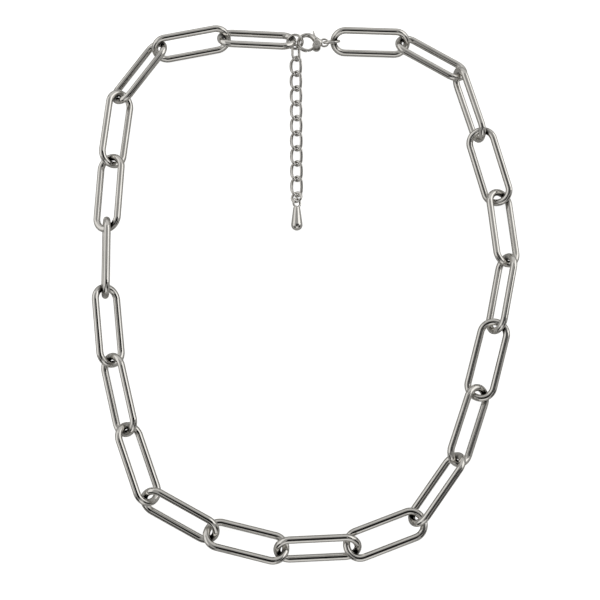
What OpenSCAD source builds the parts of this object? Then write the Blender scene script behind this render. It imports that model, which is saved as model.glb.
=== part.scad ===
// Necklace of long paperclip links, lying in a loop, with a lobster clasp and a twisted extender.
// X runs to the right, Y away from the extender's drop, Z up from the surface that it lies on.

/* [Paperclip links] */
// Wire of the long links
wire_d = 2; // [1.7:0.1:2.2]
// Outside length of a long link
link_length = 24.4; // [21:0.2:28]
// Outside width of a long link
link_width = 9.3; // [8.5:0.1:10.2]
// Clear gap where one wire hangs on another
link_gap = 0.18; // [0.15:0.01:0.22]

/* [Rings] */
// Wire of the jump ring and the end ring
ring_wire = 0.8; // [0.6:0.05:0.9]
// Outside diameter of the jump ring
jump_ring_d = 5.4; // [5.2:0.1:6]
// Outside diameter of the end ring
end_ring_d = 5.4; // [5.2:0.1:6.5]
// Slope of the jump ring, its far side up
jump_ring_slope = 54.5; // [50:0.5:57]
// Height of the jump ring's middle above the surface
jump_ring_z = 3.15; // [3:0.05:3.3]
// How far the jump ring lifts the end of the first link
first_lift = 0.65; // [0.6:0.05:0.75]

/* [Clasp] */
// Clasp from the hook's back to the end of its eye
clasp_length = 10; // [9.4:0.1:13]
// Diameter of the hook's opening
hook_opening = 4; // [3.8:0.1:4.6]
// Thickness of the fixed hook
hook_wire = 1.2; // [1:0.05:1.4]
// Thickness of the body, top to bottom
body_thickness = 3; // [2.4:0.1:3.4]
// Width of the body where it leaves the hook
body_width = 5.8; // [5:0.1:6.4]
// Width of the body where it meets the eye
neck_width = 1.7; // [1.3:0.1:2]
// Thickness of the gate
gate_wire = 0.85; // [0.6:0.05:1]
// Thickness of the lever's plate inside the body
lever_plate = 0.9; // [0.7:0.05:1.2]
// Play between the lever's plate and each cheek of the body
lever_play = 0.1; // [0.05:0.01:0.2]
// Diameter of the lever's hub
hub_d = 1.9; // [1.6:0.1:2.1]
// Diameter of the rivet
pin_d = 0.8; // [0.6:0.05:0.9]
// Radial play of the rivet in its holes
pin_play = 0.03; // [0.02:0.01:0.06]
// Height of the thumb post above the middle of the hook
post_reach = 4.1; // [3.7:0.1:4.6]
// Width of the thumb post
post_width = 0.75; // [0.6:0.05:0.9]
// Metal left between the lever's slot and the eye
neck_wall = 0.4; // [0.3:0.05:0.6]
// Outside diameter of the clasp's eye
eye_d = 3; // [2.9:0.1:3.4]
// Wire of the clasp's eye
eye_wire = 0.55; // [0.5:0.05:0.6]
// Height of the clasp's middle above the surface
clasp_z = 3; // [2.8:0.1:3.2]
// Slope of the clasp, its near side up
clasp_slope = 2; // [1:0.5:4]

/* [Extender] */
// Wire of the small oval link at the top
oval_wire = 0.75; // [0.6:0.05:0.8]
// Outside length of the oval link
oval_length = 5.8; // [5:0.1:7]
// Outside width of the oval link
oval_width = 3.7; // [3.4:0.1:4.4]
// Wire of the twisted curb links
curb_wire = 0.9; // [0.8:0.05:0.95]
// Outside length of a curb link
curb_length = 6.8; // [6.5:0.1:8]
// Outside width of a curb link
curb_width = 3.9; // [3.6:0.1:4.6]
// Twist of a curb link from end to end
curb_twist = 90; // [80:1:100]
// Wire of the round ring below the curb links
small_ring_wire = 0.75; // [0.6:0.05:0.85]
// Outside diameter of that ring
small_ring_d = 3.8; // [3.6:0.1:4.6]

/* [Drop] */
// Length of the teardrop
drop_length = 7.2; // [6:0.1:9]
// Greatest width of the teardrop
drop_width = 3.4; // [2.8:0.1:4]
// Width of the teardrop's flat top
drop_top = 2; // [1.4:0.1:2.4]
// Outside diameter of the drop's loop
drop_loop_d = 3.2; // [3:0.1:3.8]
// Wire of the drop's loop
drop_loop_wire = 0.65; // [0.5:0.05:0.8]

/* [Hidden] */
LINKS = 22;
CURBS = 9;
function link_name(i) = str("link_", i < 10 ? "0" : "", i);
function curb_name(i) = str("extender_", i);
$fn = 48;

// How each long link lies, from the jump ring down the left side and round to the end ring:
// its heading in the plane, its roll about its own length, inner side up when positive, and how
// far it is set to its left where it hangs at a sharp turn, as a share of its bow's radius.
HEADING = 0;
ROLL = 1;
SHIFT = 2;
LAY = [
    [177, 37, 0], [191, -58, 0.3], [234, 38, -0.1], [264, -46, 0], [268, 24, 0], [271, 74, 0],
    [276, -47, 0], [284, 38, 0], [290, -49, 0.1], [331, 36, 0], [346, -28, 0], [2, 41, 0],
    [20, -12, 0], [53, -66, 0.3], [69, 36, 0], [74, -16, 0], [77, -68, 0], [94, 28, 0],
    [106, -26, 0], [106, -82, 0], [148, 31, -0.1], [178, -52, 0.1]
];
// The bottom link, which both sides of the necklace are laid from
FIRST = 12;
END_RING_ROLL = 59;
OVAL_ROLL = -46;
SMALL_RING_ROLL = 25;
DROP_LOOP_ROLL = -38;
// How far the pieces on the jump ring lie to their left, as shares of their radii
JUMP_SHIFT = -0.07;
HOOK_SHIFT = 0.1;
OVAL_SHIFT = 0.14;
STEP = 7.5;

// A loop of wire: its middle, the ways along and across it, half of its straight part, the
// radius of its end bows and the radius of its wire.
function loop(middle, along, across, half, bow_r, wire_r) = [middle, along, across, half, bow_r, wire_r];
function middle(l) = l[0];
function along(l) = l[1];
function across(l) = l[2];
function half(l) = l[3];
function bow_r(l) = l[4];
function wire_r(l) = l[5];
function left_of(heading) = [-sin(heading), cos(heading), 0];
function along_of(heading, climb = 0) = [cos(heading) * cos(climb), sin(heading) * cos(climb), sin(climb)];
function across_of(heading, roll, climb = 0) =
    cos(roll) * left_of(heading) + sin(roll) * cross(along_of(heading, climb), left_of(heading));
function moved(l, v) = loop(middle(l) + v, along(l), across(l), half(l), bow_r(l), wire_r(l));
function flat(v) = [v[0], v[1], 0];
function resting_z(bow_r, wire_r, roll) = wire_r + bow_r * abs(sin(roll));

// Points along the bow at one end of a loop, with a little of its straight sides
SIDE_POINTS = 3;
function bow(l, way) = concat(
    [
        for (t = [-90:STEP:90])
            middle(l) + way * (half(l) + bow_r(l) * cos(t)) * along(l) + bow_r(l) * sin(t) * across(l)
    ],
    [
        for (side = [-1, 1])
            for (k = [1:SIDE_POINTS])
                let (t = 90 + k * STEP, run = half(l) > 0 ? -k * wire_r(l) : bow_r(l) * cos(t))
                    middle(l) + way * (half(l) + run) * along(l)
                        + side * bow_r(l) * (half(l) > 0 ? 1 : sin(t)) * across(l)
    ]
);

// How far a loop has to be pushed back along its own length, from where its tip meets the wire
// that it hangs on, before no part of its wire comes too near. Each pair of points that pass
// too near one another rules out a span of places, and the first place outside all is taken.
function push_back(fixed, moving, dir, clear) = first_clear(0, [
    for (a = fixed)
        for (b = moving)
            let (v = a - b, s = v * dir, w2 = v * v - s * s)
                if (w2 < clear * clear)
                    let (q = sqrt(clear * clear - w2)) [-s - q, q - s]
]);
function first_clear(at, spans) =
    let (hits = [for (s = spans) if (s[0] < at && at < s[1]) s[1]])
    len(hits) == 0 ? at : first_clear(max(hits), spans);

// The next loop on a chain, hung on the loop before it at the height z
function hang(last, way, heading, roll, size, z, aside = 0, climb = 0) =
    let (
        dir = way * along_of(heading, climb),
        clear = wire_r(last) + size[2] + link_gap,
        meet = flat(middle(last)) + way * (half(last) + bow_r(last) - clear / 2) * flat(along(last)),
        start = meet + [0, 0, z] + (size[0] + size[1]) * dir + aside * left_of(heading),
        ways = [along_of(heading, climb), across_of(heading, roll, climb)],
        first = loop(start, ways[0], ways[1], size[0], size[1], size[2]),
        back = push_back(bow(last, way), bow(first, -way), dir, clear)
    )
    moved(first, -back * dir);

// Sizes of a loop, as half of its straight part, bow radius and wire radius
function oblong(length, width, wire) = [(length - width) / 2, (width - wire) / 2, wire / 2];
LINK = oblong(link_length, link_width, wire_d);
JUMP = oblong(jump_ring_d, jump_ring_d, ring_wire);
END = oblong(end_ring_d, end_ring_d, ring_wire);
HOOK = [0, (hook_opening + hook_wire) / 2, hook_wire / 2];
EYE = oblong(eye_d, eye_d, eye_wire);
OVAL = oblong(oval_length, oval_width, oval_wire);
SMALL = oblong(small_ring_d, small_ring_d, small_ring_wire);
DROP_LOOP = oblong(drop_loop_d, drop_loop_d, drop_loop_wire);
CURB = oblong(curb_length, curb_width, curb_wire);

// Two links meet at the height of the one that rolls more, so none of them sinks below the surface
function link_z(i) = resting_z(LINK[1], LINK[2], LAY[i - 1][ROLL]);
function joint_z(i) = max(link_z(max(i, 1)), link_z(min(i + 1, LINKS))) + (i == 0 ? first_lift : 0);
function climb_of(i) = asin((joint_z(i) - joint_z(i - 1)) / (link_length - 2 * wire_d - link_gap));
first_link = loop(
    [0, 0, (joint_z(FIRST) + joint_z(FIRST - 1)) / 2],
    along_of(LAY[FIRST - 1][HEADING], climb_of(FIRST)),
    across_of(LAY[FIRST - 1][HEADING], LAY[FIRST - 1][ROLL], climb_of(FIRST)),
    LINK[0], LINK[1], LINK[2]
);
// Long links laid one after another, forwards or backwards, from the bottom link
function lay(done, i, way) =
    i < 1 || i > LINKS ? done :
    let (
        row = LAY[i - 1],
        z = joint_z(way > 0 ? i - 1 : i),
        aside = row[SHIFT] * LINK[1],
        next = hang(done[len(done) - 1], way, row[HEADING], row[ROLL], LINK, z, aside, climb_of(i))
    )
    lay(concat(done, [next]), i + way, way);
right_links = lay([first_link], FIRST + 1, 1);
left_links = lay([first_link], FIRST - 1, -1);
function link_loop(i) = i < FIRST ? left_links[FIRST - i] : right_links[i - FIRST];

// The jump ring, its far side up, and the chain that hangs from it toward the middle
BACK = 180;
top_left = link_loop(1);
jump = hang(top_left, -1, BACK, -jump_ring_slope, JUMP, jump_ring_z, JUMP_SHIFT * JUMP[1]);
jump_turned = loop(middle(jump), across(jump), along(jump), 0, JUMP[1], JUMP[2]);
DOWN = 270;
oval_z = resting_z(OVAL[1], OVAL[2], OVAL_ROLL);
oval = hang(jump_turned, 1, DOWN, OVAL_ROLL, OVAL, oval_z, OVAL_SHIFT * OVAL[1]);
// A curb link is twisted, so its two ends lie across each other and all of them lie alike
curb_z = curb_wire / 2 + CURB[1] / 2;
curb_pitch = curb_length - 2 * curb_wire - link_gap;
curb_start = hang(oval, 1, DOWN, curb_twist / 2, CURB, curb_z);
function curb_middle(i) = middle(curb_start) - [0, (i - 1) * curb_pitch, 0];
// Where a curb link or the drop lies: its X axis down the extender, its Y axis level
function facing_down(at) = loop(at, along_of(DOWN), across_of(DOWN, 0), 0, 0, 0);
curb_end = loop(
    curb_middle(CURBS), along_of(DOWN), across_of(DOWN, -curb_twist / 2), CURB[0], CURB[1], CURB[2]
);
// The round ring slopes up to the loop on the drop's axis
drop_z = drop_width / 2;
small_climb = asin((drop_z - curb_z) / (small_ring_d - 2 * small_ring_wire));
small = hang(curb_end, 1, DOWN, SMALL_RING_ROLL, SMALL, curb_z, 0, small_climb);
drop_loop = hang(small, 1, DOWN, DROP_LOOP_ROLL, DROP_LOOP, drop_z);

// The end ring leans across the last link's wire and slopes down to the clasp's eye
top_right = link_loop(LINKS);
last_z = middle(top_right)[2] + (half(top_right) + bow_r(top_right)) * along(top_right)[2];
end_climb = asin((clasp_z - last_z) / (end_ring_d - ring_wire));
ring_end = hang(top_right, 1, BACK, END_RING_ROLL, END, last_z, 0, end_climb);
eye = hang(ring_end, 1, BACK, clasp_slope, EYE, clasp_z);
eye_x = clasp_length - hook_wire - hook_opening / 2 - eye_d / 2;
hook_middle = middle(eye) + eye_x * along_of(BACK);
// Where the hook has to lie beside the jump ring
hook_beside = hang(jump, -1, BACK, clasp_slope, HOOK, clasp_z, HOOK_SHIFT * HOOK[1]);

// The upper part of each side turns a little until the clasp meets the jump ring. It turns
// about the end of the last link below it.
LEFT_STAYS = 7;
RIGHT_STAYS = 17;
function tip(l, way) = flat(middle(l)) + way * (half(l) + bow_r(l)) * flat(along(l));
left_pivot = tip(link_loop(LEFT_STAYS), -1);
right_pivot = tip(link_loop(RIGHT_STAYS), 1);
left_reach = flat(middle(hook_beside)) - left_pivot;
right_reach = flat(hook_middle) - right_pivot;
base = right_pivot - left_pivot;
function angle_of(v) = atan2(v[1], v[0]);
function corner(a, b, c) = acos((a * a + b * b - c * c) / (2 * a * b));
left_turn = angle_of(base) + corner(norm(left_reach), norm(base), norm(right_reach)) - angle_of(left_reach);
right_turn = angle_of(base) + 180 - corner(norm(right_reach), norm(base), norm(left_reach))
    - angle_of(right_reach);
function turned(v, pivot, a) =
    let (d = v - pivot)
    pivot + [d[0] * cos(a) - d[1] * sin(a), d[0] * sin(a) + d[1] * cos(a), d[2]];
function turned_way(v, a) = [v[0] * cos(a) - v[1] * sin(a), v[0] * sin(a) + v[1] * cos(a), v[2]];
function laid(l, pivot, a) = loop(
    turned(middle(l), pivot, a), turned_way(along(l), a), turned_way(across(l), a),
    half(l), bow_r(l), wire_r(l)
);
function laid_link(i) =
    i < LEFT_STAYS ? laid(link_loop(i), left_pivot, left_turn) :
    i > RIGHT_STAYS ? laid(link_loop(i), right_pivot, right_turn) : link_loop(i);

// The outline that the origin is centred under
function reach(l, k) = half(l) * abs(along(l)[k])
    + bow_r(l) * sqrt(along(l)[k] * along(l)[k] + across(l)[k] * across(l)[k]) + wire_r(l);
all_links = [for (i = [1:LINKS]) laid_link(i)];
function highest(k) = max([for (l = all_links) middle(l)[k] + reach(l, k)]);
function lowest(k) = min([for (l = all_links) middle(l)[k] - reach(l, k)]);
clasp_at = turned(hook_middle, right_pivot, right_turn);
far_y = max(highest(1), clasp_at[1] + post_reach);
origin = [(highest(0) + lowest(0)) / 2, (far_y + lowest(1)) / 2, 0];

module placed(l) {
    a = along(l);
    c = across(l);
    n = cross(a, c);
    m = middle(l) - origin;
    multmatrix([[a[0], c[0], n[0], m[0]], [a[1], c[1], n[1], m[1]], [a[2], c[2], n[2], m[2]], [0, 0, 0, 1]])
        children();
}

module oblong_wire(half, bow_r, wire_r) {
    for (side = [-1, 1])
        if (half > 0)
            translate([-half, side * bow_r, 0]) rotate([0, 90, 0]) cylinder(r = wire_r, h = 2 * half);
    for (way = [0, 1])
        mirror([way, 0, 0]) translate([half, 0, 0]) rotate(-90)
            rotate_extrude(angle = 180) translate([bow_r, 0]) circle(r = wire_r);
}

module round_wire(bow_r, wire_r) {
    rotate_extrude() translate([bow_r, 0]) circle(r = wire_r);
}

module link(i) {
    color("silver") placed(laid_link(i)) oblong_wire(LINK[0], LINK[1], LINK[2]);
}

module jump_ring() {
    color("silver") placed(laid(jump, left_pivot, left_turn)) round_wire(JUMP[1], JUMP[2]);
}

module end_ring() {
    color("silver") placed(laid(ring_end, right_pivot, right_turn)) round_wire(END[1], END[2]);
}

module extender_first() {
    color("silver") placed(laid(oval, left_pivot, left_turn)) oblong_wire(OVAL[0], OVAL[1], OVAL[2]);
}

// Twisted curb link: its flat oblong centre line, turned about its length in step with its place
WIRE_SIDES = 6;
BOW_STEPS = 8;
SIDE_STEPS = 4;
CURB_RINGS = 2 * (BOW_STEPS + SIDE_STEPS);
function flat_curb(k) =
    let (
        turn = floor(k / (BOW_STEPS + SIDE_STEPS)) % 2,
        j = k % (BOW_STEPS + SIDE_STEPS),
        way = turn == 0 ? 1 : -1,
        t = -90 + 180 * min(j, BOW_STEPS) / BOW_STEPS,
        run = 2 * CURB[0] * max(j - BOW_STEPS, 0) / SIDE_STEPS
    )
    way * [CURB[0] + CURB[1] * cos(t) - run, CURB[1] * sin(t), 0];
function twisted(p) =
    let (a = -curb_twist / 2 * p[0] / (CURB[0] + CURB[1]))
    [p[0], p[1] * cos(a), p[1] * sin(a)];
curb_line = [for (k = [0:CURB_RINGS - 1]) twisted(flat_curb(k))];
function unit(v) = v / norm(v);
function curb_way(k) =
    unit(curb_line[(k + 1) % CURB_RINGS] - curb_line[(k + CURB_RINGS - 1) % CURB_RINGS]);
// The wire's outward side at each ring, square to its run
function curb_out(k) =
    let (
        way = curb_way(k),
        p = curb_line[k],
        q = unit([p[0] - sign(p[0]) * min(abs(p[0]), CURB[0]), p[1], p[2]])
    )
    unit(q - (q * way) * way);
curb_points = [
    for (k = [0:CURB_RINGS - 1])
        let (out = curb_out(k), up = cross(curb_way(k), out))
            for (s = [0:WIRE_SIDES - 1])
                let (a = 360 * s / WIRE_SIDES)
                    curb_line[k] + curb_wire / 2 * (cos(a) * out + sin(a) * up)
];
curb_faces = [
    for (k = [0:CURB_RINGS - 1])
        for (s = [0:WIRE_SIDES - 1])
            let (k2 = (k + 1) % CURB_RINGS, s2 = (s + 1) % WIRE_SIDES)
                each [
                    [k * WIRE_SIDES + s, k * WIRE_SIDES + s2, k2 * WIRE_SIDES + s2],
                    [k * WIRE_SIDES + s, k2 * WIRE_SIDES + s2, k2 * WIRE_SIDES + s]
                ]
];

module extender_curb(i) {
    color("silver") placed(laid(facing_down(curb_middle(i)), left_pivot, left_turn))
        polyhedron(points = curb_points, faces = curb_faces);
}

module extender_ring() {
    color("silver") placed(laid(small, left_pivot, left_turn)) round_wire(SMALL[1], SMALL[2]);
}

// The teardrop's side: a flat top, a straight flank and a round bottom that the flank touches
drop_r = drop_width / 2;
drop_neck_z = drop_length - drop_r;
flank_lean = atan((drop_r - drop_top / 2) / drop_neck_z);
DROP_ARC = 9;
drop_side = concat(
    [[0, drop_length], [drop_top / 2, drop_length]],
    [
        for (k = [0:DROP_ARC])
            let (a = flank_lean - (90 + flank_lean) * k / DROP_ARC)
                [drop_r * cos(a), drop_r + drop_r * sin(a)]
    ]
);

module drop() {
    color("silver") {
        placed(laid(drop_loop, left_pivot, left_turn)) round_wire(DROP_LOOP[1], DROP_LOOP[2]);
        placed(laid(facing_down(middle(drop_loop)), left_pivot, left_turn))
            translate([DROP_LOOP[1] + drop_length, 0, 0]) rotate([0, -90, 0])
            rotate_extrude() polygon(drop_side);
    }
}

// The clasp lies with its eye toward the end ring; these places are from the hook's middle
hook_r = HOOK[1];
BODY_START = 0.9;
HUB_ASIDE = -1;
neck_at = eye_x - eye_d / 2 + eye_wire;
slot_end = neck_at - neck_wall;
slot_t = lever_plate + 2 * lever_play;
hub_at = [slot_end - lever_play - hub_d / 2, HUB_ASIDE];
// Angles round the hook's middle between which the fixed hook and the gate run
HOOK_FROM = 58;
HOOK_TO = 285;
GATE_FROM = 250;
GATE_TO = 318;
gate_root = hook_r * [cos(GATE_TO), sin(GATE_TO)] - hub_at;
tip_reach = norm([0, -hook_r] - hub_at);
tall = 2 * body_thickness;
// The arm of the thumb post passes just clear of the outer corner of the hook's end
hook_corner = (hook_r + hook_wire / 2) * [cos(HOOK_FROM), sin(HOOK_FROM)] - hub_at;
arm_clear = post_width / 2 + lever_play;
post_lean = 90 - angle_of(hook_corner) + asin(arm_clear / norm(hook_corner));
function arm_x(y) = hub_at[0] + (y - HUB_ASIDE) * tan(post_lean);
channel_from = min(arm_x(0), arm_x(body_width / 2)) - 2 * arm_clear;

clasp_ways = loop(hook_middle, along_of(0), across_of(0, -clasp_slope), 0, 0, 0);

module clasp_placed() {
    placed(laid(clasp_ways, right_pivot, right_turn)) children();
}

// A part of a ring of wire round the hook's middle
module hook_arc(from, to, wire) {
    rotate(from) rotate_extrude(angle = to - from) translate([hook_r, 0]) circle(d = wire);
}

module at_hub(d, h) {
    translate([hub_at[0], hub_at[1], -h / 2]) cylinder(d = d, h = h);
}

module clasp_shell() {
    difference() {
        intersection() {
            rotate([0, 90, 0]) rotate_extrude() polygon([
                [0, BODY_START], [body_width / 2, BODY_START], [neck_width / 2, neck_at], [0, neck_at]
            ]);
            translate([0, -body_width, -body_thickness / 2])
                cube([clasp_length, 2 * body_width, body_thickness]);
        }
        cylinder(d = hook_opening, h = tall, center = true);
        // Slot for the hub and the gate's root, open to the hook and to the gate's side
        translate([0, -body_width, -slot_t / 2]) cube([slot_end, body_width - HUB_ASIDE, slot_t]);
        // Channel that the thumb post swings in
        translate([channel_from, 0, -slot_t / 2]) cube([slot_end - channel_from, body_width, slot_t]);
        at_hub(pin_d + 2 * pin_play, tall);
    }
}

module clasp_body() {
    color("silver") clasp_placed() {
        clasp_shell();
        difference() {
            hook_arc(HOOK_FROM, HOOK_TO, hook_wire);
            // The hook's tip is cut clear of the gate's swing
            intersection() {
                at_hub(2 * tip_reach + lever_play, tall);
                translate([-clasp_length, -clasp_length - hook_r / 2, -tall / 2])
                    cube([2 * clasp_length, clasp_length, tall]);
            }
        }
        translate([eye_x, 0, 0]) round_wire(EYE[1], EYE[2]);
    }
}

module clasp_lever() {
    color("silver") clasp_placed() difference() {
        union() {
            at_hub(hub_d, lever_plate);
            intersection() {
                hook_arc(GATE_FROM, GATE_TO, gate_wire);
                at_hub(2 * tip_reach - lever_play, tall);
            }
            // Root of the gate, from its arc to the hub
            translate([hub_at[0], hub_at[1], -lever_plate / 2]) rotate(angle_of(gate_root))
                translate([0, -gate_wire / 2, 0]) cube([norm(gate_root), gate_wire, lever_plate]);
            // Arm from the hub up to the thumb post
            translate([hub_at[0], hub_at[1], -lever_plate / 2]) rotate(-post_lean)
                translate([-post_width / 2, 0, 0]) cube([post_width, post_reach - HUB_ASIDE, lever_plate]);
        }
        at_hub(pin_d + 2 * pin_play, tall);
    }
}

module clasp_pin() {
    color("silver") clasp_placed() at_hub(pin_d, body_thickness);
}

for (i = [1:LINKS])
    link(i);
for (i = [1:CURBS])
    extender_curb(i);
jump_ring();
clasp_body();
clasp_lever();
clasp_pin();
end_ring();
extender_first();
extender_ring();
drop();
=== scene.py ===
# %% [markdown]
# # A paperclip chain necklace on a white table
# The necklace lies in a loop, as in a product photograph taken from above: 22 long links, a
# lobster clasp, and a short twisted extender with a drop at its end. Its metal parts come from
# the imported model, which is called the frame. This script gives every part its polished
# finish, makes finer pieces where the plain solids only sketch a form, and builds the small
# studio that the polished metal mirrors. Everything is in metres, in the frame's own place.

# %% Load the frame
import math

import bmesh
import bpy
from mathutils import Matrix, Vector
from mathutils.kdtree import KDTree


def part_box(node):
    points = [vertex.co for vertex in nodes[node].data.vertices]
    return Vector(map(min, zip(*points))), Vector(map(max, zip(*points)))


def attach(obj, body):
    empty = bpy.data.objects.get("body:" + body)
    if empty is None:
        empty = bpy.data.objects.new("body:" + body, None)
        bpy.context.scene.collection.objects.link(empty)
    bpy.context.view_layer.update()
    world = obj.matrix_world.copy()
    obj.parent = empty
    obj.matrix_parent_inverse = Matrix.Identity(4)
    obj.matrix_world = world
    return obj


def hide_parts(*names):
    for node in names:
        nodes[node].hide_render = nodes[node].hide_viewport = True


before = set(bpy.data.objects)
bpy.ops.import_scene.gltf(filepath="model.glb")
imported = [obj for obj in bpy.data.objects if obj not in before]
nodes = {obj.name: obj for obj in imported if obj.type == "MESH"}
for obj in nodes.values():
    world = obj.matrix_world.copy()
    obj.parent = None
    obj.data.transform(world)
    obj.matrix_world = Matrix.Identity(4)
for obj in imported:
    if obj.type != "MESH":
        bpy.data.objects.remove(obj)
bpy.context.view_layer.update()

MM = 0.001


def in_mm(lengths, digits=2):
    """Lengths in metres as rounded millimetres, for printing."""
    return [round(v / MM, digits) for v in lengths]


print("solids:", len(nodes))

# %% [markdown]
# ## The camera
# The photograph looks almost straight down from a quarter of a metre, so the near end of the
# loop looks a little larger than the far end. A camera could be aimed by eye, but here its
# place was worked out from where the ends of the links lie in the picture, because a loop of
# 22 links shows every degree of error. The lens is given as a focal length in pixels, since
# that is what such a fit finds.

# %% Camera
CAMERA_PLACE = Vector((-2.87, -49.72, 246.36)) * MM
CAMERA_FORWARD = Vector((0.0037, 0.1775, -0.9845))
CAMERA_ROLL = math.radians(0.6)
FOCAL_PIXELS = 850
PHOTO_PIXELS = 600
SENSOR_MM = 36
NEAREST_SEEN = 10 * MM

camera_data = bpy.data.cameras.new("photo_camera")
camera_data.sensor_width = SENSOR_MM
camera_data.lens = SENSOR_MM * FOCAL_PIXELS / PHOTO_PIXELS
camera_data.clip_start = NEAREST_SEEN
camera = bpy.data.objects.new("photo_camera", camera_data)
bpy.context.scene.collection.objects.link(camera)
camera.location = CAMERA_PLACE
camera.rotation_mode = "QUATERNION"
facing = CAMERA_FORWARD.to_track_quat("-Z", "Y").to_matrix()
camera.rotation_quaternion = (facing @ Matrix.Rotation(CAMERA_ROLL, 3, "Z")).to_quaternion()
bpy.context.scene.camera = camera
bpy.context.scene.view_settings.view_transform = "Standard"
print("lens, mm:", round(camera_data.lens, 1))

# %% [markdown]
# ## The table
# The table is plain white paper in full light. A camera set for dark metal shows such a table
# as pure white, with almost no shadow. If the floor were made that bright for every ray, the
# undersides of the wires would glow, so the extra light is given to the camera's own rays
# alone, and the metal mirrors the calmer white that lies under it.

# %% Table
FLOOR_SIZE = 4.0
FLOOR_COLOR = (0.72, 0.72, 0.71, 1)
FLOOR_ROUGHNESS = 0.7
FLOOR_GLOW = 0.85


def flat_sheet(name, width, depth):
    """A flat sheet of the studio round the origin, facing up."""
    mesh = bpy.data.meshes.new(name)
    bm = bmesh.new()
    bmesh.ops.create_grid(bm, x_segments=1, y_segments=1, size=0.5)
    bmesh.ops.scale(bm, vec=(width, depth, 1), verts=bm.verts)
    bm.to_mesh(mesh)
    bm.free()
    sheet = bpy.data.objects.new(name, mesh)
    bpy.context.scene.collection.objects.link(sheet)
    return sheet


def new_material(name):
    """An empty node material, its nodes and its links."""
    material = bpy.data.materials.new(name)
    material.use_nodes = True
    return material, material.node_tree.nodes, material.node_tree.links


table_paint, t_nodes, t_links = new_material("white_table")
paper = t_nodes["Principled BSDF"]
paper.inputs["Base Color"].default_value = FLOOR_COLOR
paper.inputs["Roughness"].default_value = FLOOR_ROUGHNESS
paper.inputs["Emission Color"].default_value = (1, 1, 1, 1)
seen = t_nodes.new("ShaderNodeLightPath")
glow = t_nodes.new("ShaderNodeMath")
glow.operation = "MULTIPLY"
glow.inputs[1].default_value = FLOOR_GLOW
t_links.new(seen.outputs["Is Camera Ray"], glow.inputs[0])
t_links.new(glow.outputs[0], paper.inputs["Emission Strength"])
table = flat_sheet("table", FLOOR_SIZE, FLOOR_SIZE)
table.data.materials.append(table_paint)
print("table:", FLOOR_SIZE, "m square")

# %% [markdown]
# ## The room
# Polished metal has no look of its own: every streak along a wire is the picture of something
# that stands round it. The room itself is an even grey. The camera's own rays see it white, so
# that a view from the side has a clean background.

# %% Room
ROOM_GREY = 0.36
ROOM_WHITE = 1.0
LIGHT_COLOR = (1, 0.99, 0.97, 1)

room = bpy.data.worlds.new("grey_room")
room.use_nodes = True
r_nodes, r_links = room.node_tree.nodes, room.node_tree.links
r_nodes["Background"].inputs["Color"].default_value = LIGHT_COLOR
room_seen = r_nodes.new("ShaderNodeLightPath")
room_mix = r_nodes.new("ShaderNodeMix")
room_mix.inputs["A"].default_value = ROOM_GREY
room_mix.inputs["B"].default_value = ROOM_WHITE
r_links.new(room_seen.outputs["Is Camera Ray"], room_mix.inputs["Factor"])
r_links.new(room_mix.outputs["Result"], r_nodes["Background"].inputs["Strength"])
bpy.context.scene.world = room
print("room grey:", ROOM_GREY)

# %% [markdown]
# ## Soft lights and dark cards
# Two large soft lights stand left and right, a dimmer one on the far side and a smaller one on
# the near side. The near corners of the studio are dark, a dark panel hangs between the right
# light and the camera, and the camera's own black body is overhead. It draws the thin dark line
# along the middle of each wire. Lamps would light the metal too, but cards show up in its
# reflections with exact edges, and each one's place can be read back from the streaks in the
# photograph. No card is seen by the camera itself.

# %% Cards
CARD_AWAY = 0.62
CAMERA_AWAY = 0.3
LEFT_LIGHT = 0.95
RIGHT_LIGHT = 1.3
NEAR_LIGHT = 0.85
FAR_LIGHT = 0.66
DARK = 0.01


def toward(azimuth, polar):
    """The direction at an azimuth from +X and at an angle from straight up, in degrees."""
    a, p = math.radians(azimuth), math.radians(polar)
    return Vector((math.sin(p) * math.cos(a), math.sin(p) * math.sin(a), math.cos(p)))


def studio_card(name, azimuth, polar, wide, tall, brightness, away=CARD_AWAY):
    """A card that is wide and tall by so many degrees, as seen from the necklace."""
    width, height = (2 * away * math.tan(math.radians(angle) / 2) for angle in (wide, tall))
    card = flat_sheet(name, width, height)
    paint, m_nodes, m_links = new_material(name)
    shine = m_nodes.new("ShaderNodeEmission")
    shine.inputs["Color"].default_value = LIGHT_COLOR
    shine.inputs["Strength"].default_value = brightness
    m_links.new(shine.outputs[0], m_nodes["Material Output"].inputs["Surface"])
    card.data.materials.append(paint)
    out = toward(azimuth, polar)
    card.location = out * away
    card.rotation_euler = out.to_track_quat("Z", "Y").to_euler()
    card.visible_camera = False
    card.visible_shadow = False
    return card


cards = [
    studio_card("left_light", 166, 64, 66, 42, LEFT_LIGHT),
    studio_card("right_light", 24, 60, 44, 42, RIGHT_LIGHT),
    studio_card("near_light", 272, 66, 34, 34, NEAR_LIGHT),
    studio_card("far_light", 84, 64, 76, 46, FAR_LIGHT),
    studio_card("left_near_corner", 232, 74, 28, 32, DARK),
    studio_card("right_near_corner", 324, 72, 30, 34, DARK),
    studio_card("right_overhead", 350, 30, 30, 24, DARK),
    studio_card("camera_body", 268, 14, 30, 52, DARK, CAMERA_AWAY),
]
print("cards:", len(cards))

# %% [markdown]
# ## The polish, as shader groups
# The chain is brass wire, tumbled bright in a barrel of steel pins and then plated white. The
# tumbling leaves no grain, only a haze of short fine marks that run every way, so a brushed
# pattern would be wrong here. The group makes them from stretched noise at two angles. Its
# height goes to a Bump node, and its roughness breaks up the mirror a little.

# %% Helpers for node groups


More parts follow.
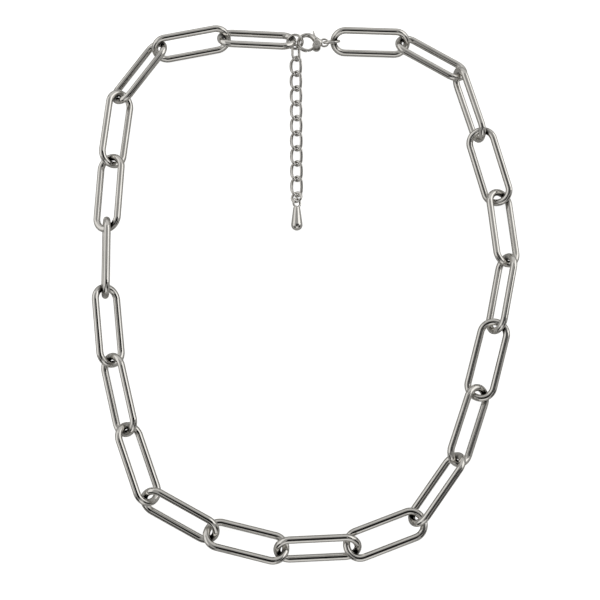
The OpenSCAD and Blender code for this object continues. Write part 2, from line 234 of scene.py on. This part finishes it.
def new_group(name, inputs, outputs):
    """An empty shader node group with named sockets."""
    tree = bpy.data.node_groups.new(name, "ShaderNodeTree")
    for socket, kind, value in inputs:
        made = tree.interface.new_socket(socket, in_out="INPUT", socket_type="NodeSocket" + kind)
        if value is not None:
            made.default_value = value
    for socket, kind in outputs:
        tree.interface.new_socket(socket, in_out="OUTPUT", socket_type="NodeSocket" + kind)
    return tree, tree.nodes.new("NodeGroupInput"), tree.nodes.new("NodeGroupOutput")


def noise(tree, vector, scale, detail):
    """A noise texture on the given vector."""
    made = tree.nodes.new("ShaderNodeTexNoise")
    made.inputs["Scale"].default_value = scale
    made.inputs["Detail"].default_value = detail
    tree.links.new(vector, made.inputs["Vector"])
    return made.outputs["Fac"]


def feed(tree, socket, value):
    """Gives an input a number, or links it to another node's output."""
    if isinstance(value, (int, float)):
        socket.default_value = value
    else:
        tree.links.new(value, socket)


def math_step(tree, operation, first, second):
    """A Math node; each input is an output of another node or a number."""
    made = tree.nodes.new("ShaderNodeMath")
    made.operation = operation
    feed(tree, made.inputs[0], first)
    feed(tree, made.inputs[1], second)
    return made.outputs[0]


def remap(tree, value, low, high, to_low=0.0, to_high=1.0):
    """A smooth Map Range node, from low..high to to_low..to_high."""
    made = tree.nodes.new("ShaderNodeMapRange")
    made.interpolation_type = "SMOOTHSTEP"
    tree.links.new(value, made.inputs["Value"])
    ends = {"From Min": low, "From Max": high, "To Min": to_low, "To Max": to_high}
    for socket, end in ends.items():
        feed(tree, made.inputs[socket], end)
    return made.outputs["Result"]


print("helpers for groups, noise, sums and ranges")

# %% Group: tumbled marks
MARKS_PER_METRE = 900
MARK_STRETCH = 14
MARK_ANGLES = (25, 115)
MARK_TILT = 30
# The part of the noise that draws marks and haze, from none to full
MARK_RANGE = (0.56, 0.74)
HAZE_RANGE = (0.35, 0.75)
MARK_ROUGHNESS = 0.5
MARK_DEPTH = 0.35

marks, marks_in, marks_out = new_group(
    "tumbled_marks",
    [("Vector", "Vector", None), ("Base", "Float", 0.06), ("Amount", "Float", 0.06)],
    [("Roughness", "Float"), ("Height", "Float")],
)
lines = []
for angle in MARK_ANGLES:
    turn = marks.nodes.new("ShaderNodeMapping")
    turn.inputs["Rotation"].default_value = [math.radians(v) for v in (angle, MARK_TILT, angle)]
    turn.inputs["Scale"].default_value = (1, MARK_STRETCH, 1)
    marks.links.new(marks_in.outputs["Vector"], turn.inputs["Vector"])
    fine = noise(marks, turn.outputs[0], MARKS_PER_METRE, 2)
    lines.append(remap(marks, fine, *MARK_RANGE))
crossed = math_step(marks, "MAXIMUM", lines[0], lines[1])
haze = noise(marks, marks_in.outputs["Vector"], MARKS_PER_METRE / 3, 3)
scored = math_step(marks, "MULTIPLY", crossed, MARK_ROUGHNESS)
worn = math_step(marks, "ADD", scored, remap(marks, haze, *HAZE_RANGE))
rough = math_step(marks, "MULTIPLY", worn, marks_in.outputs["Amount"])
rough = math_step(marks, "ADD", rough, marks_in.outputs["Base"])
marks.links.new(rough, marks_out.inputs["Roughness"])
sunk = math_step(marks, "MULTIPLY", crossed, MARK_DEPTH)
marks.links.new(math_step(marks, "SUBTRACT", haze, sunk), marks_out.inputs["Height"])
print("group:", marks.name)

# %% [markdown]
# ## Painted shade where one link hangs on the next
# Two links only touch at the tips of their bows. There each one lies in the other's shade and
# mirrors the other's dark side, and that shade is painted into the base colour as a near-black
# patch. The group measures how far a point is from the two places where its own link meets its
# neighbours. It is a mask, and each finish darkens its base colour with it.

# %% Group: painted shade where pieces meet
RAGGED_PER_METRE = 1400
RAGGED_DEPTH = 1.2 * MM

# The mask of the painted shade where one piece meets the next
joint_shade, joint_shade_in, joint_shade_out = new_group(
    "joint_shade_mask",
    [("Vector", "Vector", None), ("Meeting A", "Vector", None), ("Meeting B", "Vector", None),
     ("Core", "Float", 1 * MM), ("Reach", "Float", 3 * MM)],
    [("Mask", "Float")],
)
spans = []
for socket in ("Meeting A", "Meeting B"):
    span = joint_shade.nodes.new("ShaderNodeVectorMath")
    span.operation = "DISTANCE"
    joint_shade.links.new(joint_shade_in.outputs["Vector"], span.inputs[0])
    joint_shade.links.new(joint_shade_in.outputs[socket], span.inputs[1])
    spans.append(span.outputs["Value"])
nearest = math_step(joint_shade, "MINIMUM", spans[0], spans[1])
grains = noise(joint_shade, joint_shade_in.outputs["Vector"], RAGGED_PER_METRE, 3)
away = math_step(joint_shade, "ADD", nearest, math_step(joint_shade, "MULTIPLY", grains, RAGGED_DEPTH))
# Full painted shade up to the core, fading to none at the reach, with a ragged edge
shade_mask = remap(joint_shade, away, joint_shade_in.outputs["Core"], joint_shade_in.outputs["Reach"], 1, 0)
joint_shade.links.new(shade_mask, joint_shade_out.inputs["Mask"])
print("group:", joint_shade.name)

# %% [markdown]
# ## The colour of the plating
# White plating is a warm grey, between steel and silver. It isn't perfectly even: the bath
# leaves broad soft clouds a shade lighter or darker, and near the meeting places painted shade
# darkens it nearly to black. One group mixes the three, from colours that each finish gives.

# %% Group: plating colour, with painted shade
CLOUDS_PER_METRE = 160
CLOUD_RANGE = (0.35, 0.7)

clouds_and_shade, clouds_and_shade_in, clouds_and_shade_out = new_group(
    "plating_color_and_shade",
    [("Vector", "Vector", None), ("Bright", "Color", (0.8, 0.8, 0.8, 1)),
     ("Cloud", "Color", (0.7, 0.7, 0.7, 1)), ("Painted Shade", "Color", (0.3, 0.3, 0.3, 1)),
     ("Mask", "Float", 0.0)],
    [("Color", "Color")],
)


def color_mix(tree, factor, first, second):
    """A Mix node for colours; all three inputs are outputs of other nodes."""
    made = tree.nodes.new("ShaderNodeMix")
    made.data_type = "RGBA"
    tree.links.new(factor, made.inputs[0])
    tree.links.new(first, made.inputs[6])
    tree.links.new(second, made.inputs[7])
    return made.outputs[2]


broad = noise(clouds_and_shade, clouds_and_shade_in.outputs["Vector"], CLOUDS_PER_METRE, 3)
drift = remap(clouds_and_shade, broad, *CLOUD_RANGE)
plated = color_mix(clouds_and_shade, drift, clouds_and_shade_in.outputs["Bright"], clouds_and_shade_in.outputs["Cloud"])
# Near the meeting places the colour goes to near-black: painted shade
shaded = color_mix(clouds_and_shade, clouds_and_shade_in.outputs["Mask"], plated, clouds_and_shade_in.outputs["Painted Shade"])
clouds_and_shade.links.new(shaded, clouds_and_shade_out.inputs["Color"])
print("group:", clouds_and_shade.name)

# %% [markdown]
# ## Where the pieces meet
# The painted shade needs the meeting places. They could be copied from the part's source as
# numbers.
# It is simpler and safer to ask the frame itself, whose meshes say where the metal is: for two
# interlocked pieces, the place lies halfway between their two nearest points. A k-d tree, which
# sorts points by place, finds those among some thousands without trying every pair.

# %% Meeting places
LINK_NAMES = [f"link_{i:02d}" for i in range(1, 23)]
RING_NAMES = ["jump_ring", "end_ring", "extender_first", "extender_ring"]
CURB_NAMES = [f"extender_{i}" for i in range(1, 10)]
# Every piece from the clasp round the loop to the drop, each one beside its neighbours
CHAIN = ["clasp_body", "end_ring", *reversed(LINK_NAMES), "jump_ring", "extender_first",
         *CURB_NAMES, "extender_ring", "drop"]


def tree_of(name):
    """A k-d tree of the points of a solid."""
    points = nodes[name].data.vertices
    tree = KDTree(len(points))
    for i, point in enumerate(points):
        tree.insert(point.co, i)
    tree.balance()
    return tree


def meeting_place(first, second):
    """The place halfway between the nearest points of two interlocked pieces."""
    pairs = ((v.co, trees[second].find(v.co)) for v in nodes[first].data.vertices)
    own, (other, _, _) = min(pairs, key=lambda pair: pair[1][2])
    return (own + other) / 2


def meetings_of(name):
    """The two meeting places of a piece, the same one twice at the chain's end."""
    at = CHAIN.index(name)
    near = [meeting_place(name, CHAIN[k]) for k in (at - 1, at + 1) if 0 <= k < len(CHAIN)]
    return near[0], near[-1]


trees = {name: tree_of(name) for name in CHAIN}
for place in meetings_of("link_01"):
    print("the first link meets a neighbour at, mm:", in_mm(place, 1))

# %% [markdown]
# ## The finish of each piece
# Every piece gets its own material, built by one function from the three groups, since each
# has its own two meeting places. The long links are the smoothest, and mirror the room with the
# sharpest streaks. The rings and the extender are bent from thinner wire that is polished less.
# The clasp is cast, and its skin comes between the two.

# %% The finish of one piece
WARM_BRIGHT = (0.76, 0.745, 0.715, 1)
WARM_CLOUD = (0.69, 0.675, 0.645, 1)
# Near-black painted shade where pieces meet, put into the base colour
JOINT_SHADE = (0.035, 0.032, 0.028, 1)
MARK_HEIGHT = 0.012 * MM
MARK_STRENGTH = 0.35


def plating(name, core, reach, base, amount):
    """The polished plating of one piece.

    Its painted shade at the meeting places is full up to core and ends at reach, and its
    roughness goes from base up by about amount where it is marked.
    """
    finish, f_nodes, f_links = new_material("plating_" + name)
    metal = f_nodes["Principled BSDF"]
    metal.inputs["Metallic"].default_value = 1
    place = f_nodes.new("ShaderNodeTexCoord").outputs["Object"]
    used = {}
    for tree in (marks, joint_shade, clouds_and_shade):
        used[tree.name] = f_nodes.new("ShaderNodeGroup")
        used[tree.name].node_tree = tree
        f_links.new(place, used[tree.name].inputs["Vector"])
    first, second = meetings_of(name)
    shade_node = used["joint_shade_mask"]
    shade_node.inputs["Meeting A"].default_value = first
    shade_node.inputs["Meeting B"].default_value = second
    shade_node.inputs["Core"].default_value = core
    shade_node.inputs["Reach"].default_value = reach
    color = used["plating_color_and_shade"]
    color.inputs["Bright"].default_value = WARM_BRIGHT
    color.inputs["Cloud"].default_value = WARM_CLOUD
    # The near-black colour is painted shade at the meeting places
    color.inputs["Painted Shade"].default_value = JOINT_SHADE
    f_links.new(shade_node.outputs["Mask"], color.inputs["Mask"])
    f_links.new(color.outputs["Color"], metal.inputs["Base Color"])
    mark = used["tumbled_marks"]
    mark.inputs["Base"].default_value = base
    mark.inputs["Amount"].default_value = amount
    f_links.new(mark.outputs["Roughness"], metal.inputs["Roughness"])
    skin = f_nodes.new("ShaderNodeBump")
    skin.inputs["Strength"].default_value = MARK_STRENGTH
    skin.inputs["Distance"].default_value = MARK_HEIGHT
    f_links.new(mark.outputs["Height"], skin.inputs["Height"])
    f_links.new(skin.outputs["Normal"], metal.inputs["Normal"])
    return finish


def dress(piece, finish):
    """Gives a piece one material."""
    piece.data.materials.clear()
    piece.data.materials.append(finish)


print("one finish is made of", [tree.name for tree in (marks, joint_shade, clouds_and_shade)])

# %% Finishes of the links and rings
for name in LINK_NAMES:
    dress(nodes[name], plating(name, core=1.4 * MM, reach=2.8 * MM, base=0.02, amount=0.03))
for name in RING_NAMES:
    dress(nodes[name], plating(name, core=0.4 * MM, reach=1.2 * MM, base=0.05, amount=0.07))
print("finished so far:", len(LINK_NAMES) + len(RING_NAMES), "pieces")

# %% [markdown]
# ## The twisted curb links
# The extender is a curb chain: each link is a small oblong of wire that is turned about its
# own length, so its two ends lie across each other and the chain lies flat. The solids have
# plain six-sided wire. Here the same link is made round. One circle of wire is spun round the
# first bow, pushed along the straight side, spun round the second bow and pushed back, and the
# last ring closes on the first. Then every point turns about the link's length, in step with
# its place along it.

# %% A loop of round wire
CURB_LENGTH = 6.8 * MM
CURB_WIDTH = 3.9 * MM
CURB_WIRE = 0.9 * MM
CURB_BOW = (CURB_WIDTH - CURB_WIRE) / 2
CURB_HALF = (CURB_LENGTH - CURB_WIDTH) / 2
CURB_TWIST = math.radians(90)
WIRE_SEGMENTS = 16
BOW_STEPS = 20
SIDE_STEPS = 6


def spun_loop(wire, bow, half):
    """A closed oblong loop of round wire, flat on the origin, its length along X.

    The bow is the radius of its ends, and half is half the straight part of a side.
    """
    bm = bmesh.new()
    bmesh.ops.create_circle(bm, segments=WIRE_SEGMENTS, radius=wire / 2)
    bmesh.ops.rotate(bm, verts=bm.verts, matrix=Matrix.Rotation(math.radians(90), 3, "Y"))
    bmesh.ops.translate(bm, verts=bm.verts, vec=(half, -bow, 0))
    ring = list(bm.verts) + list(bm.edges)
    for way in (1, -1):
        ring = bmesh.ops.spin(bm, geom=ring, cent=(way * half, 0, 0), axis=(0, 0, 1),
                              angle=math.pi, steps=BOW_STEPS)["geom_last"]
        step = (-way * 2 * half / SIDE_STEPS, 0, 0)
        ring = bmesh.ops.spin(bm, geom=ring, cent=(0, 0, 0), axis=(0, 0, 1), dvec=step,
                              angle=0, steps=SIDE_STEPS)["geom_last"]
    bmesh.ops.remove_doubles(bm, verts=bm.verts, dist=wire / 1000)
    bmesh.ops.recalc_face_normals(bm, faces=bm.faces)
    return bm


print("wire, mm:", CURB_WIRE / MM, "- bow, mm:", round(CURB_BOW / MM, 2))

# %% Curb links
# The way that the extender runs from the jump ring, as an angle from +X
EXTENDER_HEADING = math.radians(269.777)


def piece_from(bm, name):
    """A smooth-shaded object from a bmesh that is already in place."""
    mesh = bpy.data.meshes.new(name)
    bm.to_mesh(mesh)
    bm.free()
    mesh.shade_smooth()
    piece = bpy.data.objects.new(name, mesh)
    bpy.context.scene.collection.objects.link(piece)
    return piece


def stand_for(piece, node, body):
    """The piece rides on the body and is shown in the node's stead."""
    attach(piece, body)
    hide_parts(node)


for name in CURB_NAMES:
    bm = spun_loop(CURB_WIRE, CURB_BOW, CURB_HALF)
    for v in bm.verts:
        turn = -CURB_TWIST / 2 * v.co.x / (CURB_HALF + CURB_BOW)
        v.co = Matrix.Rotation(turn, 3, "X") @ v.co
    low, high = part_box(name)
    to_place = Matrix.Translation((low + high) / 2) @ Matrix.Rotation(EXTENDER_HEADING, 4, "Z")
    bmesh.ops.transform(bm, matrix=to_place, verts=bm.verts)
    curb = piece_from(bm, "curb_" + name[-1])
    stand_for(curb, name, "necklace")
    dress(curb, plating(name, core=0.5 * MM, reach=1.3 * MM, base=0.05, amount=0.07))
print("curb link faces:", len(curb.data.polygons))
print("its size, mm:", in_mm(curb.dimensions), "- its solid's, mm:", in_mm(high - low))

# %% [markdown]
# ## The clasp's casting
# A lobster clasp is cast in one piece: a horn that is thickest near the eye and thins toward
# the tip of the hook, with two cheeks that hold the lever between them. It is tumbled after
# casting, so it has no sharp edge anywhere. The horn is one circle swept round the hook and on
# along the back of the body, and each of its rings is then made as thick as the horn is there.
# The cheeks are plain round shapes that run into it.

# %% The horn
# Sizes in millimetres from the middle of the hook, with X toward the eye and Y toward the post
HOOK_RADIUS = 2.6
HOOK_TIP = 285
HORN_LEAVES = 55
HORN_RINGS = 72
BACK_LENGTH = 3.7
BACK_RINGS = 20
HORN_SEGMENTS = 32
# Along the horn from its tip, in mm: the radius in the plane and the radius from top to bottom
HORN_SIZES = [(0, 0.40, 0.42), (0.5, 0.52, 0.54), (4, 0.58, 0.58), (8, 0.62, 0.66),
              (10.4, 0.68, 0.95), (12, 0.95, 1.35), (13, 0.95, 1.2), (14.2, 0.8, 0.85)]
# The most that the horn's back stands out from its middle line; a thicker horn grows inward
HORN_BACK = 0.62


def horn_size(run):
    """The horn's two radii at a distance from its tip, eased between the listed ones."""
    for (start, *small), (end, *large) in zip(HORN_SIZES, HORN_SIZES[1:]):
        if run <= end:
            break
    share = min(1, (run - start) / (end - start))
    return [a + (b - a) * share for a, b in zip(small, large)]


def swept_horn(bm):
    """The hook's horn, from its tip round the hook and along the back to the neck."""
    bmesh.ops.create_circle(bm, segments=HORN_SEGMENTS, radius=1)
    bmesh.ops.rotate(bm, verts=bm.verts, matrix=Matrix.Rotation(math.radians(90), 3, "X"))
    bmesh.ops.translate(bm, verts=bm.verts, vec=(HOOK_RADIUS, 0, 0))
    bmesh.ops.rotate(bm, verts=bm.verts, matrix=Matrix.Rotation(math.radians(HOOK_TIP), 3, "Z"))
    sweep = math.radians(HOOK_TIP - HORN_LEAVES)
    ring = bmesh.ops.spin(bm, geom=list(bm.verts) + list(bm.edges), cent=(0, 0, 0),
                          axis=(0, 0, -1), angle=sweep, steps=HORN_RINGS)["geom_last"]
    leave = math.radians(HORN_LEAVES)
    step = Vector((math.sin(leave), -math.cos(leave), 0)) * BACK_LENGTH / BACK_RINGS
    bmesh.ops.spin(bm, geom=ring, cent=(0, 0, 0), axis=(0, 0, 1), dvec=step, angle=0,
                   steps=BACK_RINGS)
    bm.verts.ensure_lookup_table()
    bm.verts.index_update()
    rings = [bm.verts[i:i + HORN_SEGMENTS] for i in range(0, len(bm.verts), HORN_SEGMENTS)]
    for k, ring in enumerate(rings):
        turned = min(k / HORN_RINGS, 1)
        out_angle = math.radians(HOOK_TIP) - sweep * turned
        out = Vector((math.cos(out_angle), math.sin(out_angle), 0))
        middle = sum((v.co for v in ring), Vector()) / HORN_SEGMENTS
        run = HOOK_RADIUS * sweep * turned + max(0, k - HORN_RINGS) * BACK_LENGTH / BACK_RINGS
        wide, tall = horn_size(run)
        inward = max(0, wide - HORN_BACK)
        for v in ring:
            away = v.co - middle
            across = out * (away.dot(out) * wide - inward)
            v.co = middle + across + Vector((0, 0, away.z * tall))
    bmesh.ops.holes_fill(bm, edges=bm.edges)


casting = bmesh.new()
swept_horn(casting)
print("horn:", len(casting.faces), "faces")

# %% The cheeks, the neck and the eye
HUB = (2.9, -1.0)
HUB_RADIUS = 1.3
CHEEK_HEIGHT = 2.9
# The neck between the cheeks and the eye is a pressed cone: its ends, their radii, its flatness
NECK_ENDS = ((3.0, -0.2, 0), (4.7, 0, 0))
NECK_RADII = (1.55, 0.72)
NECK_FLAT = 0.94
EYE_AT = 5.3
EYE_RADIUS = 1.225
EYE_WIRE = 0.58
BAR_SEGMENTS = 40
RING_STEPS = 48


def round_bar(bm, start, end, radius_1, radius_2, flat=1.0):
    """A round bar or cone between two points, pressed flat by a share from top to bottom."""
    start, end = Vector(start), Vector(end)
    bar = bmesh.ops.create_cone(bm, cap_ends=True, segments=BAR_SEGMENTS, radius1=radius_1,
                                radius2=radius_2, depth=(end - start).length)["verts"]
    turn = (end - start).to_track_quat("Z", "Y").to_matrix()
    bmesh.ops.rotate(bm, verts=bar, matrix=turn)
    bmesh.ops.scale(bm, verts=bar, vec=(1, 1, flat))
    bmesh.ops.translate(bm, verts=bar, vec=(start + end) / 2)


def wire_ring(bm, radius, wire, middle):
    """A ring of round wire, flat round a middle."""
    ring = bmesh.ops.create_circle(bm, segments=WIRE_SEGMENTS, radius=wire / 2)["verts"]
    bmesh.ops.rotate(bm, verts=ring, matrix=Matrix.Rotation(math.radians(90), 3, "X"))
    bmesh.ops.translate(bm, verts=ring, vec=Vector(middle) + Vector((radius, 0, 0)))
    edges = list({e for v in ring for e in v.link_edges})
    bmesh.ops.spin(bm, geom=ring + edges, cent=middle, axis=(0, 0, 1), angle=2 * math.pi,
                   steps=RING_STEPS, use_merge=True)


half_cheek = CHEEK_HEIGHT / 2
round_bar(casting, (*HUB, -half_cheek), (*HUB, half_cheek), HUB_RADIUS, HUB_RADIUS)
round_bar(casting, *NECK_ENDS, *NECK_RADII, flat=NECK_FLAT)
wire_ring(casting, EYE_RADIUS, EYE_WIRE, (EYE_AT, 0, 0))
bmesh.ops.recalc_face_normals(casting, faces=casting.faces)
print("casting, before it is made one skin:", len(casting.faces), "faces")

# %% [markdown]
# ## One skin, with the lever's slot cut into it
# These shapes overlap, and joined as they are they would show hard lines where they meet.
# Rounding such lines with a bevel fails on a form like this. Instead the whole casting is
# turned into one even skin of small cells. Then the slot between the cheeks, the channel of the
# thumb post, the hook's opening and the rivet's hole are cut away, and the skin is made even
# again and smoothed. That wears the edges down and leaves a soft neck between the shapes, much
# as the tumbling does. The work is done in millimetres, because the cells can't be smaller than
# a fixed size, and a bmesh transform then puts the skin in its place in metres.

# %% The clasp's place
# Where the hook's middle is, and the directions of the clasp's own X and Y
CLASP_MIDDLE = Vector((1.0427, 74.5447, 3.0)) * MM
CLASP_ALONG = Vector((0.999969, -0.007907, 0))
CLASP_ACROSS = Vector((0.007902, 0.99936, -0.0349))

clasp_up = CLASP_ALONG.cross(CLASP_ACROSS)
clasp_turn = Matrix((CLASP_ALONG, CLASP_ACROSS, clasp_up)).transposed().to_4x4()
clasp_place = Matrix.Translation(CLASP_MIDDLE) @ clasp_turn @ Matrix.Diagonal((MM, MM, MM, 1))
print("the clasp slopes, degrees:", round(math.degrees(math.asin(CLASP_ACROSS.z)), 1))

# %% One smooth skin
SKIN_CELL = 0.07
SMOOTHING = 0.5
CASTING_ROUNDS = 8
LEVER_ROUNDS = 4


def even_cells(piece, name):
    """Remakes the piece's surface as one skin of even cells."""
    cells = piece.modifiers.new(name, "REMESH")
    cells.mode = "VOXEL"
    cells.voxel_size = SKIN_CELL
    cells.use_smooth_shade = True


def skin_of(bm, name, rounds, cutter=None):
    """The bmesh as one smooth skin, cut by the cutter's shapes, and put in its place."""
    raw = piece_from(bm, name + "_raw")
    even_cells(raw, "one_skin")
    if cutter:
        blade = piece_from(cutter, name + "_blade")
        cut = raw.modifiers.new("cut", "BOOLEAN")
        cut.object, cut.operation, cut.use_self = blade, "DIFFERENCE", True
    even_cells(raw, "even_skin")
    ease = raw.modifiers.new("ease", "SMOOTH")
    ease.factor, ease.iterations = SMOOTHING, rounds
    finished = raw.evaluated_get(bpy.context.evaluated_depsgraph_get())
    skin = bpy.data.meshes.new_from_object(finished)
    bpy.data.objects.remove(raw)
    if cutter:
        bpy.data.objects.remove(blade)
    done = bmesh.new()
    done.from_mesh(skin)
    bmesh.ops.transform(done, matrix=clasp_place, verts=done.verts)
    return piece_from(done, name)


print("skin cells, mm:", SKIN_CELL)

# %% The slot, the channel, the opening and the rivet's hole
SLOT_HEIGHT = 1.1
SLOT_END = 3.95
SLOT_BACK = 1
CHANNEL_FROM = 1.2
HOOK_OPENING = 2.0
PIN_HOLE = 0.86
CUT_REACH = 6


def box_between(bm, low, high):
    """A box between two corners."""
    low, high = Vector(low), Vector(high)
    box = bmesh.ops.create_cube(bm, size=1)["verts"]
    bmesh.ops.scale(bm, verts=box, vec=high - low)
    bmesh.ops.translate(bm, verts=box, vec=(low + high) / 2)


half_slot = SLOT_HEIGHT / 2
cutter = bmesh.new()
box_between(cutter, (0, -CUT_REACH, -half_slot), (SLOT_END, SLOT_BACK, half_slot))
box_between(cutter, (CHANNEL_FROM, 0, -half_slot), (SLOT_END, CUT_REACH, half_slot))
round_bar(cutter, (0, 0, -CUT_REACH), (0, 0, CUT_REACH), HOOK_OPENING, HOOK_OPENING)
round_bar(cutter, (*HUB, -CUT_REACH), (*HUB, CUT_REACH), PIN_HOLE / 2, PIN_HOLE / 2)
clasp = skin_of(casting, "clasp_casting", CASTING_ROUNDS, cutter)
stand_for(clasp, "clasp_body", "necklace")
print("clasp faces:", len(clasp.data.polygons), "- size, mm:", in_mm(clasp.dimensions))

# %% [markdown]
# ## The lever
# The gate, its root, the hub and the thumb post are one small stamped and bent part. Its solid
# has the right form, so a merged copy of it is the start. Only the thumb post is plain there:
# the real one narrows to a point that a fingernail finds. The copy is thinned toward that
# point, and then made one soft skin like the casting.

# %% Lever
POST_THINS_FROM = 2.2
POST_TIP = 4.1
POST_TIP_SHARE = 0.4
POST_LEAN = math.radians(-10.97)
MERGE_WITHIN = MM / 10000
CUT_WITHIN = 1e-5

gate = bmesh.new()
gate.from_mesh(nodes["clasp_lever"].data)
bmesh.ops.remove_doubles(gate, verts=gate.verts, dist=MERGE_WITHIN)
bmesh.ops.transform(gate, matrix=clasp_place.inverted(), verts=gate.verts)
# A ring of new points round the post, so that it thins from there and not from its root
bmesh.ops.bisect_plane(gate, geom=list(gate.verts) + list(gate.edges) + list(gate.faces),
                       dist=CUT_WITHIN, plane_co=(0, POST_THINS_FROM, 0), plane_no=(0, 1, 0))
for v in gate.verts:
    share = (v.co.y - POST_THINS_FROM) / (POST_TIP - POST_THINS_FROM)
    if share > 0:
        arm_x = HUB[0] + (v.co.y - HUB[1]) * math.tan(POST_LEAN)
        thin = 1 + (POST_TIP_SHARE - 1) * min(1, share)
        v.co.x = arm_x + (v.co.x - arm_x) * thin
        v.co.z *= thin
lever = skin_of(gate, "clasp_lever_casting", LEVER_ROUNDS)
stand_for(lever, "clasp_lever", "lever")
print("lever faces:", len(lever.data.polygons), "- size, mm:", in_mm(lever.dimensions))

# %% Clasp finishes
# The painted shade of all three lies where the clasp's eye holds the end ring
clasp_pieces = (clasp, lever, nodes["clasp_pin"])
for piece in clasp_pieces:
    dress(piece, plating("clasp_body", core=0.3 * MM, reach=0.9 * MM, base=0.04, amount=0.06))
print("finished on the clasp:", len(clasp_pieces), "pieces")

# %% [markdown]
# ## The drop
# The drop is a small solid teardrop on a loop. It is turned on a lathe, and a half profile
# spun through a full turn is the same in Blender. The round foot of the profile is one point
# spun about the middle of the ball, so it is smoother than the solid's. A bevel eases the top
# edge, because a sharp edge would catch no light.

# %% Drop
DROP_LENGTH = 7.2 * MM
DROP_RADIUS = 1.7 * MM
DROP_TOP_RADIUS = 1.0 * MM
DROP_ARC_STEPS = 24
DROP_TURN_STEPS = 64
EASED_EDGE = 0.25 * MM
EASED_STEPS = 6
LOOP_RADIUS = 1.275 * MM
LOOP_WIRE = 0.65 * MM
LOOP_ROLL = math.radians(-38)
LOOP_MIDDLE = Vector((-2.6259, 23.8621, 1.7)) * MM
TOUCH = 0.01 * MM

# The loop lies round the origin, and the drop goes off along X
pendant = bmesh.new()
flank_lean = math.atan((DROP_RADIUS - DROP_TOP_RADIUS) / (DROP_LENGTH - DROP_RADIUS))
foot = pendant.verts.new((LOOP_RADIUS + DROP_LENGTH, 0, 0))
ball = (LOOP_RADIUS + DROP_LENGTH - DROP_RADIUS, 0, 0)
arc_end = bmesh.ops.spin(pendant, geom=[foot], cent=ball, axis=(0, 0, 1),
                         angle=math.pi / 2 + flank_lean, steps=DROP_ARC_STEPS)["geom_last"][0]
rim = pendant.verts.new((LOOP_RADIUS, DROP_TOP_RADIUS, 0))
top = pendant.verts.new((LOOP_RADIUS, 0, 0))
for pair in ((arc_end, rim), (rim, top)):
    pendant.edges.new(pair)
bmesh.ops.spin(pendant, geom=list(pendant.verts) + list(pendant.edges), cent=(0, 0, 0),
               axis=(1, 0, 0), angle=2 * math.pi, steps=DROP_TURN_STEPS, use_merge=True)
bmesh.ops.remove_doubles(pendant, verts=pendant.verts, dist=TOUCH / 10)


def on_rim(v):
    """Whether a point lies on the drop's top edge."""
    off_rim = abs(v.co.x - LOOP_RADIUS), abs(v.co.yz.length - DROP_TOP_RADIUS)
    return max(off_rim) < TOUCH


top_edge = [e for e in pendant.edges if all(on_rim(v) for v in e.verts)]
bmesh.ops.bevel(pendant, geom=top_edge, offset=EASED_EDGE, offset_type="OFFSET",
                segments=EASED_STEPS, profile=0.5, affect="EDGES", material=-1)
wire_ring(pendant, LOOP_RADIUS, LOOP_WIRE, (0, 0, 0))
bmesh.ops.recalc_face_normals(pendant, faces=pendant.faces)
to_place = (Matrix.Translation(LOOP_MIDDLE) @ Matrix.Rotation(EXTENDER_HEADING, 4, "Z")
            @ Matrix.Rotation(LOOP_ROLL, 4, "X"))
bmesh.ops.transform(pendant, matrix=to_place, verts=pendant.verts)
drop = piece_from(pendant, "teardrop")
stand_for(drop, "drop", "necklace")
dress(drop, plating("drop", core=0.5 * MM, reach=1.5 * MM, base=0.05, amount=0.06))
low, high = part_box("drop")
print("drop faces:", len(drop.data.polygons))
print("its size, mm:", in_mm(drop.dimensions), "- its solid's, mm:", in_mm(high - low))
